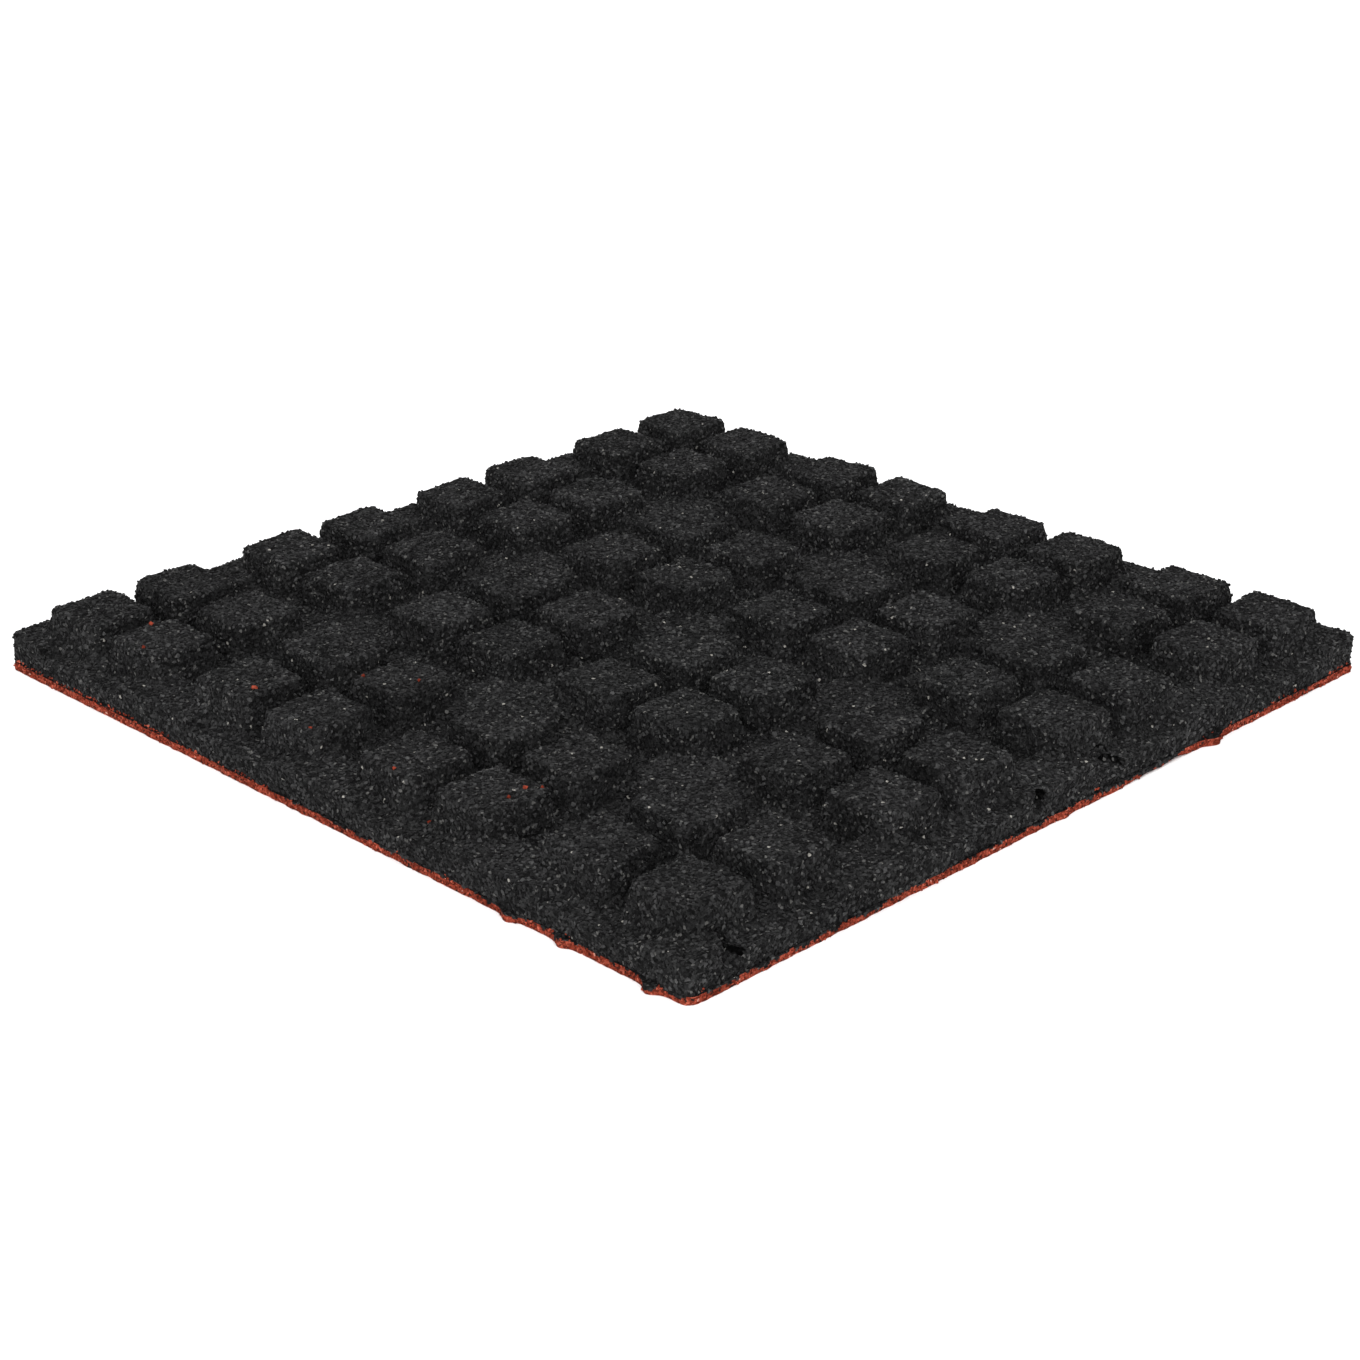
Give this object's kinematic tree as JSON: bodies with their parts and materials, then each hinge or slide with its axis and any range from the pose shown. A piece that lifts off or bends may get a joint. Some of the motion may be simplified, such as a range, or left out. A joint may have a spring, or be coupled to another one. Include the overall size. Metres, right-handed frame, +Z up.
{
  "type": "rubber floor tile",
  "caption": "Square floor tile of bonded rubber granulate, lying with its footed black underside up and its thin red wear layer down.",
  "frame": {"origin": "middle of the lowest face, which is the red walking face, on the floor that the tile lies on", "axes": "+Z up through the thickness, out of the tops of the feet; X and Y along the square's sides"},
  "size_m": [0.5, 0.5, 0.035],
  "materials": {
    "black_granulate": "matt, coarse bonded granulate",
    "red_granulate": "matt, fine bonded granulate"
  },
  "bodies": {
    "root": {"granulate_base": "black_granulate", "red_wear_layer": "red_granulate"}
  },
  "joints": []
}
